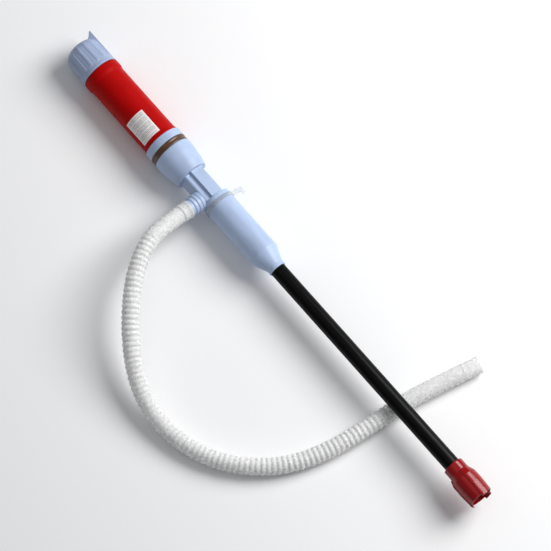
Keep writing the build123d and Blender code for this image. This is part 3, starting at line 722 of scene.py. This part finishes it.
def rubber_material(name, colour, rough):
    """Rubber with a fine uneven surface."""
    made = Finish(name).set(IOR=1.5)
    cloud = made.noise(160.0, 3.0)
    made.colour(made.blend(made.between(cloud, 0.0, 1.0), tint(colour, 0.8), tint(colour, 1.25)))
    made.roughness(made.between(made.noise(700.0, 2.0), rough - 0.08, rough + 0.1))
    made.bump(made.noise(1500.0, 2.0), 0.00004, 0.5)
    return made.material


def label_material(rows):
    """White film with rows of plain grey dashes, in blocks. It reads the label's own UV map."""
    made = Finish("label_film").set(IOR=1.48, Coat_Weight=0.2, Coat_Roughness=0.2)
    sheet = made.add("ShaderNodeUVMap", uv_map="label").outputs[0]
    parts = made.add("ShaderNodeSeparateXYZ")
    made.link(sheet, parts.inputs[0])
    across, along = parts.outputs[0], parts.outputs[1]
    row = made.math("MULTIPLY", along, rows)
    within = made.math("FRACT", row)
    number = made.math("FLOOR", row)
    line = made.math(
        "MULTIPLY", made.math("GREATER_THAN", within, 0.34), made.math("LESS_THAN", within, 0.70)
    )
    gap = made.math("GREATER_THAN", made.math("MODULO", made.math("ADD", number, 1.0), 5.0), 0.5)
    word_place = made.add("ShaderNodeCombineXYZ")
    made.link(made.math("MULTIPLY", across, 34.0), word_place.inputs[0])
    made.link(made.math("MULTIPLY", number, 7.3), word_place.inputs[1])
    words = made.add("ShaderNodeTexNoise")
    words.inputs["Scale"].default_value = 1.0
    words.inputs["Detail"].default_value = 1.0
    made.link(word_place.outputs[0], words.inputs["Vector"])
    word = made.math("GREATER_THAN", words.outputs["Fac"], 0.44)
    margin = made.math(
        "MULTIPLY", made.math("GREATER_THAN", across, 0.07), made.math("LESS_THAN", across, 0.93)
    )
    edge = made.math(
        "MULTIPLY", made.math("GREATER_THAN", along, 0.05), made.math("LESS_THAN", along, 0.95)
    )
    print_share = line
    for part in (gap, word, margin, edge):
        print_share = made.math("MULTIPLY", print_share, part)
    paper = made.blend(made.noise(240.0, 2.0), (0.80, 0.76, 0.74), (0.90, 0.87, 0.85))
    made.colour(made.blend(made.math("MULTIPLY", print_share, 0.75), paper, (0.10, 0.10, 0.11)))
    made.roughness(made.between(made.noise(500.0, 2.0), 0.30, 0.42))
    made.bump(made.noise(800.0, 2.0), 0.00002, 0.4)
    return made.material


def cell_material(name, start, length):
    """A battery's printed jacket: dark, with a copper band at its positive end."""
    made = Finish(name).set(Metallic=0.55, Coat_Weight=0.5, Coat_Roughness=0.1)
    parts = made.add("ShaderNodeSeparateXYZ")
    made.link(made.place, parts.inputs[0])
    share = made.between(parts.outputs[0], 0.0, 1.0, start, start + length)
    band = made.math("GREATER_THAN", share, 0.74)
    cloud = made.noise(300.0, 2.0)
    copper = made.blend(cloud, (0.42, 0.17, 0.05), (0.55, 0.25, 0.09))
    dark = made.blend(cloud, (0.010, 0.010, 0.012), (0.022, 0.022, 0.025))
    made.colour(made.blend(band, dark, copper))
    made.roughness(made.between(cloud, 0.22, 0.34))
    made.bump(made.noise(900.0, 2.0), 0.00002, 0.3)
    return made.material


def winding_material():
    """Enamelled copper wire, laid in rows."""
    made = Finish("copper_wire").set(Metallic=1.0, Coat_Weight=0.4, Coat_Roughness=0.1)
    rows = made.add("ShaderNodeTexWave", wave_type="BANDS", bands_direction="X")
    rows.inputs["Scale"].default_value = 620.0
    rows.inputs["Distortion"].default_value = 1.5
    made.link(made.place, rows.inputs["Vector"])
    made.colour(made.blend(rows.outputs["Fac"], (0.22, 0.07, 0.02), (0.62, 0.27, 0.10)))
    made.roughness(made.between(made.noise(900.0, 2.0), 0.25, 0.4))
    made.bump(rows.outputs["Fac"], 0.00012, 0.8)
    return made.material


def floor_material(colour):
    """A plain matt floor."""
    made = Finish("studio_floor")
    made.set(Specular_IOR_Level=0.0)
    made.colour(made.blend(made.noise(3.0, 2.0), tint(colour, 0.995), tint(colour, 1.0)))
    made.shader.inputs["Roughness"].default_value = 1.0
    return made.material


MATERIALS = {}


def make_materials(plastics):
    """Makes the finishes that several pieces share."""
    blue, cap = tuple(plastics.pale_blue), tuple(plastics.cap_blue)
    white = tuple(plastics.inner_white)
    MATERIALS.update({
        "pale_plastic": moulded(
            "pale_plastic", blue, 0.40, Subsurface_Weight=0.06, Subsurface_Scale=0.002
        ),
        "cap_plastic": moulded(
            "cap_plastic", cap, 0.46, Subsurface_Weight=0.05, Subsurface_Scale=0.002
        ),
        "red_plastic": moulded(
            "red_plastic", tuple(plastics.handle_red), 0.46, 0.00002, 0.05, Specular_IOR_Level=0.07
        ),
        "strainer_plastic": moulded(
            "strainer_plastic", tuple(plastics.strainer_red), 0.20, 0.00002, 0.05,
            Specular_IOR_Level=0.2, Coat_Weight=0.3, Coat_Roughness=0.08,
        ),
        "white_plastic": moulded("white_plastic", white, 0.42),
        "brown_rubber": rubber_material("brown_rubber", tuple(plastics.ring_brown), 0.34),
        "seal_rubber": rubber_material("seal_rubber", (0.02, 0.02, 0.02), 0.55),
        "wire_jacket": rubber_material("wire_jacket", (0.35, 0.01, 0.01), 0.4),
        "nickel_plate": metal("nickel_plate", (0.66, 0.63, 0.57), 0.24),
        "spring_steel": metal("spring_steel", (0.60, 0.60, 0.60), 0.26),
        "contact_brass": metal("contact_brass", (0.72, 0.50, 0.20), 0.26),
        "screw_steel": metal("screw_steel", (0.58, 0.58, 0.57), 0.32),
        "motor_steel": metal("motor_steel", (0.60, 0.60, 0.61), 0.34),
        "core_steel": metal("core_steel", (0.20, 0.20, 0.21), 0.42, (2600, 60, 60), 0.00004),
        "shaft_steel": metal("shaft_steel", (0.64, 0.64, 0.65), 0.18),
        "ferrite": rubber_material("ferrite", (0.045, 0.045, 0.048), 0.62),
        "copper_wire": winding_material(),
        "hose_vinyl": hose_material(),
        "clear_plastic": hook_material(),
        "black_plastic": tube_material(),
    })


# ------------------------------------------------------------------ operators


class PUMP_OT_stage(Operator):
    """Makes the camera, the lights and the floor"""

    bl_idname = "pump.stage"
    bl_label = "Stage"

    def execute(self, context):
        scene = context.scene
        settings = scene.pump_stage
        target = Vector(CAMERA_TARGET)
        azimuth, elevation = settings.azimuth, settings.elevation
        back = Vector((
            sin(azimuth) * cos(elevation), -cos(azimuth) * cos(elevation), sin(elevation)
        ))
        data = bpy.data.cameras.new("camera")
        data.lens = settings.lens
        data.sensor_width = SENSOR_WIDTH
        data.clip_start = 0.1
        data.clip_end = 50.0
        camera = bpy.data.objects.new("camera", data)
        camera.location = target + back * settings.distance
        camera.rotation_euler = back.to_track_quat("Z", "Y").to_euler()
        scene.collection.objects.link(camera)
        scene.camera = camera

        shape = bmesh.new()
        bmesh.ops.create_grid(shape, x_segments=24, y_segments=24, size=FLOOR_HALF)
        mesh = bpy.data.meshes.new("floor")
        shape.to_mesh(mesh)
        shape.free()
        ground = mesh_object("floor", mesh)
        dress(ground, floor_material(tuple(settings.floor_colour)))

        world = bpy.data.worlds.new("studio")
        world.use_nodes = True
        sky = world.node_tree.nodes["Background"]
        sky.inputs["Color"].default_value = SKY_COLOUR
        sky.inputs["Strength"].default_value = SKY_STRENGTH
        scene.world = world
        scene.view_settings.view_transform = "Standard"

        middle = Vector(LIGHT_TARGET)
        for name, way, far, size, power in (
            ("key_light", Vector((0.25, 1.0, 0.95)), 1.8, 1.3, settings.key_power),
            ("top_light", Vector((-0.1, -0.1, 1.0)), 2.2, 2.2, settings.top_power),
        ):
            lamp = bpy.data.lights.new(name, "AREA")
            lamp.shape = "DISK"
            lamp.size = size
            lamp.energy = power
            light = bpy.data.objects.new(name, lamp)
            light.location = middle + way.normalized() * far
            light.rotation_euler = way.to_track_quat("Z", "Y").to_euler()
            scene.collection.objects.link(light)
        return {"FINISHED"}


class PUMP_OT_hose(Operator):
    """Makes the corrugated outlet hose and its two plain cuffs"""

    bl_idname = "pump.hose"
    bl_label = "Outlet hose"

    def execute(self, context):
        settings = context.scene.pump_hose
        data = bpy.data.curves.new("hose_route", "CURVE")
        data.dimensions = "3D"
        data.resolution_u = 24
        spline = data.splines.new("NURBS")
        spline.points.add(len(HOSE_ROUTE) - 1)
        for point, place in zip(spline.points, HOSE_ROUTE):
            point.co = (*place, 1.0)
        spline.order_u = 3
        spline.use_endpoint_u = True
        route = mesh_object("hose_route", data)
        line = evaluated_mesh(route)

        hose = run_tree(route, hose_tree(), {
            "Radius": settings.radius,
            "Pitch": settings.pitch,
            "Depth": settings.depth,
            "Plain start": settings.plain_start,
            "Plain end": settings.plain_end,
            "Sides": settings.sides,
        })
        hose.name = "hose"
        wall = hose.modifiers.new("Wall", "SOLIDIFY")
        wall.thickness = settings.wall
        wall.offset = -1.0
        hose = settle(hose)
        vinyl = MATERIALS["hose_vinyl"]

        cuff = mesh_object("hose_cuff", lathe("hose_cuff", (
            (31.0, 7.9), (31.0, 10.2, 0.6), (33.4, 10.2, 0.4), (34.2, 9.75), (40.2, 9.75),
            (41.0, 10.1, 0.4), (42.4, 10.1, 0.5), (43.0, 9.5), (43.0, 7.6), (42.5, 7.6),
            (42.5, 7.9),
        ), 96))
        cuff.data.transform(OUTLET)
        piece(cuff, vinyl, "pump", "hose_vinyl", "hose_start_cuff")

        last, before = Vector(HOSE_ROUTE[-1]), Vector(HOSE_ROUTE[-2])
        way = (last - before).normalized()
        mouth = mesh_object("hose_mouth", lathe("hose_mouth", (
            (0.0, 8.4), (0.0, 9.5), (1.0, 9.5), (2.0, 9.35), (16.5, 9.35), (17.3, 9.5, 0.3),
            (20.0, 9.5, 0.6), (20.0, 7.7, 0.5), (1.0, 7.7), (1.0, 8.4),
        ), 96))
        mouth.data.transform(placing(last, Vector((0, 0, 1)), way))
        piece(mouth, vinyl, "pump", "hose_vinyl", "hose_end_cuff")

        piece(hose, vinyl, "pump", "hose_vinyl", "outlet_hose")
        return {"FINISHED"}


class PUMP_OT_cap(Operator):
    """Makes the ribbed switch cap with its thumb lug"""

    bl_idname = "pump.cap"
    bl_label = "Switch cap"

    def execute(self, context):
        settings = context.scene.pump_cap
        shell = lathe("cap_shell", (
            (0, 0), (0, 18.7, 10.0), (33.6, 20.9, 0.3), (34.2, 21.3, 0.3), (37.0, 21.4, 0.6),
            (37.0, 20.1, 0.2), (2.5, 17.8, 5.8), (2.5, 5.5), (8.9, 5.5), (8.9, 1.5),
            (3.5, 1.5), (3.5, 0),
        ), 180)
        half = settings.ridge_arc / 2
        ridge = lathe("cap_ridge", (
            (0.3, 9.0), (0.3, 19.25, 10.0), (31.0, 21.3, 1.0), (31.0, 20.2), (10.0, 18.8),
            (6.45, 18.3), (3.56, 16.5), (1.7, 13.6), (1.7, 9.0),
        ), 8, -half, settings.ridge_arc)
        ridges = copies_round("cap_ridges", ridge, settings.ridges, settings.first_ridge)
        lug = prism("cap_lug", (
            (33.0, 21.1), (-5.2, 21.3, 0.4), (-5.2, 20.4, 0.4), (0.3, 14.8, 5), (0.8, 10.4),
            (1.7, 10.4),
            (1.7, 13.6), (3.56, 16.5), (6.45, 18.3), (33.0, 20.4),
        ), settings.lug_angle, 6.5)
        cap = mesh_object("switch_cap_shell", joined("switch_cap_shell", (shell, ridges.data, lug)))
        bpy.data.objects.remove(ridges)
        cap = softened(cap, 0.42, 3)
        cap.data.transform(GRIP)
        piece(cap, MATERIALS["cap_plastic"], "knob", "cap_plastic", "switch_cap")
        return {"FINISHED"}


class PUMP_OT_handle(Operator):
    """Makes the red battery handle with the collar and seal ring at its end"""

    bl_idname = "pump.handle"
    bl_label = "Battery handle"

    def execute(self, context):
        handle = mesh_object("handle_tube", lathe("handle_tube", (
            (12.0, 17.2), (12.0, 18.0, 0.2), (37.6, 19.7), (37.6, 21.5, 0.8), (45.6, 21.5, 4),
            (49.6, 20.35, 5), (134.1, 20.4, 4), (138.3, 21.2, 0.5), (139.1, 21.2), (139.1, 18.7),
            (160.0, 18.7, 0.3), (160.0, 17.2),
        ), 192))
        handle.data.transform(GRIP)
        piece(handle, MATERIALS["red_plastic"], "pump", "red_plastic", "battery_handle")

        collar = mesh_object("handle_collar", lathe("handle_collar", (
            (139.1, 18.7), (139.1, 22.3, 1.0), (141.2, 22.3, 0.3), (141.5, 22.1), (142.0, 22.1),
            (142.3, 22.3, 0.3), (148.2, 22.3, 0.6), (148.2, 18.7),
        ), 192))
        collar.data.transform(GRIP)
        piece(collar, MATERIALS["pale_plastic"], "pump", "pale_plastic", "collar_ring")

        ring = mesh_object("handle_seal", lathe("handle_seal", (
            (148.2, 18.7), (148.2, 21.8, 0.6), (149.6, 22.15, 0.8), (151.2, 21.5, 0.5),
            (152.1, 21.5, 0.5), (153.7, 22.15, 0.8), (155.1, 21.8, 0.6), (155.1, 18.7),
        ), 192))
        ring.data.transform(GRIP)
        piece(ring, MATERIALS["brown_rubber"], "pump", "brown_rubber", "seal_ring")
        return {"FINISHED"}


class PUMP_OT_label(Operator):
    """Makes the printed label on the handle"""

    bl_idname = "pump.label"
    bl_label = "Handle label"

    def execute(self, context):
        settings = context.scene.pump_label
        start, length = settings.start / MM, settings.length / MM
        first = settings.middle - settings.arc / 2
        mesh = lathe("label_sheet", (
            (start, 20.4), (start, 20.55, 0.05),
            (start + length, 20.55, 0.05), (start + length, 20.4),
        ), 64, first, settings.arc)
        sheet = mesh.uv_layers.new(name="label")
        for loop in mesh.loops:
            place = mesh.vertices[loop.vertex_index].co
            turned = (atan2(place.y, place.x) - first) / settings.arc
            sheet.data[loop.index].uv = (turned, (place.z - start) / length)
        label = mesh_object("label_sheet", mesh)
        label.data.transform(GRIP)
        piece(label, label_material(LABEL_ROWS), "pump", "label_film", "handle_label")
        return {"FINISHED"}


class PUMP_OT_housing(Operator):
    """Makes the motor housing, the outlet spout and the grip sleeve, with soft moulded edges"""

    bl_idname = "pump.housing"
    bl_label = "Housing, spout and sleeve"

    def execute(self, context):
        for name, node, voxel, passes in (
            ("housing_shell", "motor_housing", 0.00055, 4),
            ("spout_shell", "outlet_spout", 0.00034, 4),
            ("sleeve_shell", "grip_sleeve", 0.00055, 5),
        ):
            shell = softened(copied_node(name, node), voxel, passes)
            piece(shell, MATERIALS["pale_plastic"], "pump", "pale_plastic", node)
        return {"FINISHED"}


class PUMP_OT_hook(Operator):
    """Makes the clear hanging hook"""

    bl_idname = "pump.hook"
    bl_label = "Hanging hook"

    def execute(self, context):
        hook = softened(copied_node("hook_clip", "hanging_hook"), 0.00026, 3)
        piece(hook, MATERIALS["clear_plastic"], "hook", "clear_plastic", "hanging_hook")
        return {"FINISHED"}


class PUMP_OT_tube(Operator):
    """Makes the black suction tube"""

    bl_idname = "pump.tube"
    bl_label = "Suction tube"

    def execute(self, context):
        tube = mesh_object("tube_pipe", lathe("tube_pipe", (
            (225.5, 7.5), (225.5, 8.7, 0.3), (614.0, 8.7, 0.3), (614.0, 7.5),
        ), 128))
        tube.data.transform(PUMP)
        piece(tube, MATERIALS["black_plastic"], "pump", "black_plastic", "suction_tube")
        return {"FINISHED"}


class PUMP_OT_strainer(Operator):
    """Makes the red strainer"""

    bl_idname = "pump.strainer"
    bl_label = "Strainer"

    def execute(self, context):
        shell = softened(copied_node("strainer_shell", "strainer"), 0.00036, 4)
        piece(shell, MATERIALS["strainer_plastic"], "pump", "strainer_plastic", "strainer")
        return {"FINISHED"}


class PUMP_OT_inner(Operator):
    """Gives the inner pieces of the CAD frame their finishes"""

    bl_idname = "pump.inner"
    bl_label = "Inner pieces"

    def execute(self, context):
        slots = {item["node"]: item["material_slot"] for item in frame["record"]["subparts"]}
        for name, node in frame["nodes"].items():
            slot = slots[name]
            if slot in MATERIALS:
                dress(node, MATERIALS[slot])
            elif name.startswith("battery_"):
                low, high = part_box(name)
                dress(node, cell_material(name, low.x, high.x - low.x))
            elif not node.hide_render:
                raise RuntimeError(f"no finish for {name}")
        return {"FINISHED"}


class PUMP_PT_panel(Panel):
    """Lists the pump's pieces"""

    bl_idname = "PUMP_PT_panel"
    bl_label = "Battery transfer pump"
    bl_space_type = "VIEW_3D"
    bl_region_type = "UI"
    bl_category = "Pump"

    def draw(self, context):
        for operator in OPERATORS:
            self.layout.operator(operator.bl_idname)
        for holder, _ in SETTINGS:
            box = self.layout.box()
            box.label(text=holder.removeprefix("pump_").capitalize())
            group = getattr(context.scene, holder)
            for name in group.__annotations__:
                box.prop(group, name)


SETTINGS = (
    ("pump_stage", StageSettings),
    ("pump_plastics", PlasticSettings),
    ("pump_hose", HoseSettings),
    ("pump_cap", CapSettings),
    ("pump_label", LabelSettings),
)
OPERATORS = (
    PUMP_OT_stage,
    PUMP_OT_hose,
    PUMP_OT_cap,
    PUMP_OT_handle,
    PUMP_OT_label,
    PUMP_OT_housing,
    PUMP_OT_hook,
    PUMP_OT_tube,
    PUMP_OT_strainer,
    PUMP_OT_inner,
)


def register():
    """Registers the settings, the operators and the panel."""
    for holder, group in SETTINGS:
        bpy.utils.register_class(group)
        setattr(bpy.types.Scene, holder, PointerProperty(type=group))
    for operator in OPERATORS:
        bpy.utils.register_class(operator)
    bpy.utils.register_class(PUMP_PT_panel)


def unregister():
    """Removes everything that register adds."""
    bpy.utils.unregister_class(PUMP_PT_panel)
    for operator in reversed(OPERATORS):
        bpy.utils.unregister_class(operator)
    for holder, group in reversed(SETTINGS):
        delattr(bpy.types.Scene, holder)
        bpy.utils.unregister_class(group)


def main():
    """Builds the pump."""
    register()
    make_materials(bpy.context.scene.pump_plastics)
    for operator in OPERATORS:
        group, action = operator.bl_idname.split(".")
        getattr(getattr(bpy.ops, group), action)()


if __name__ == "__main__":
    main()
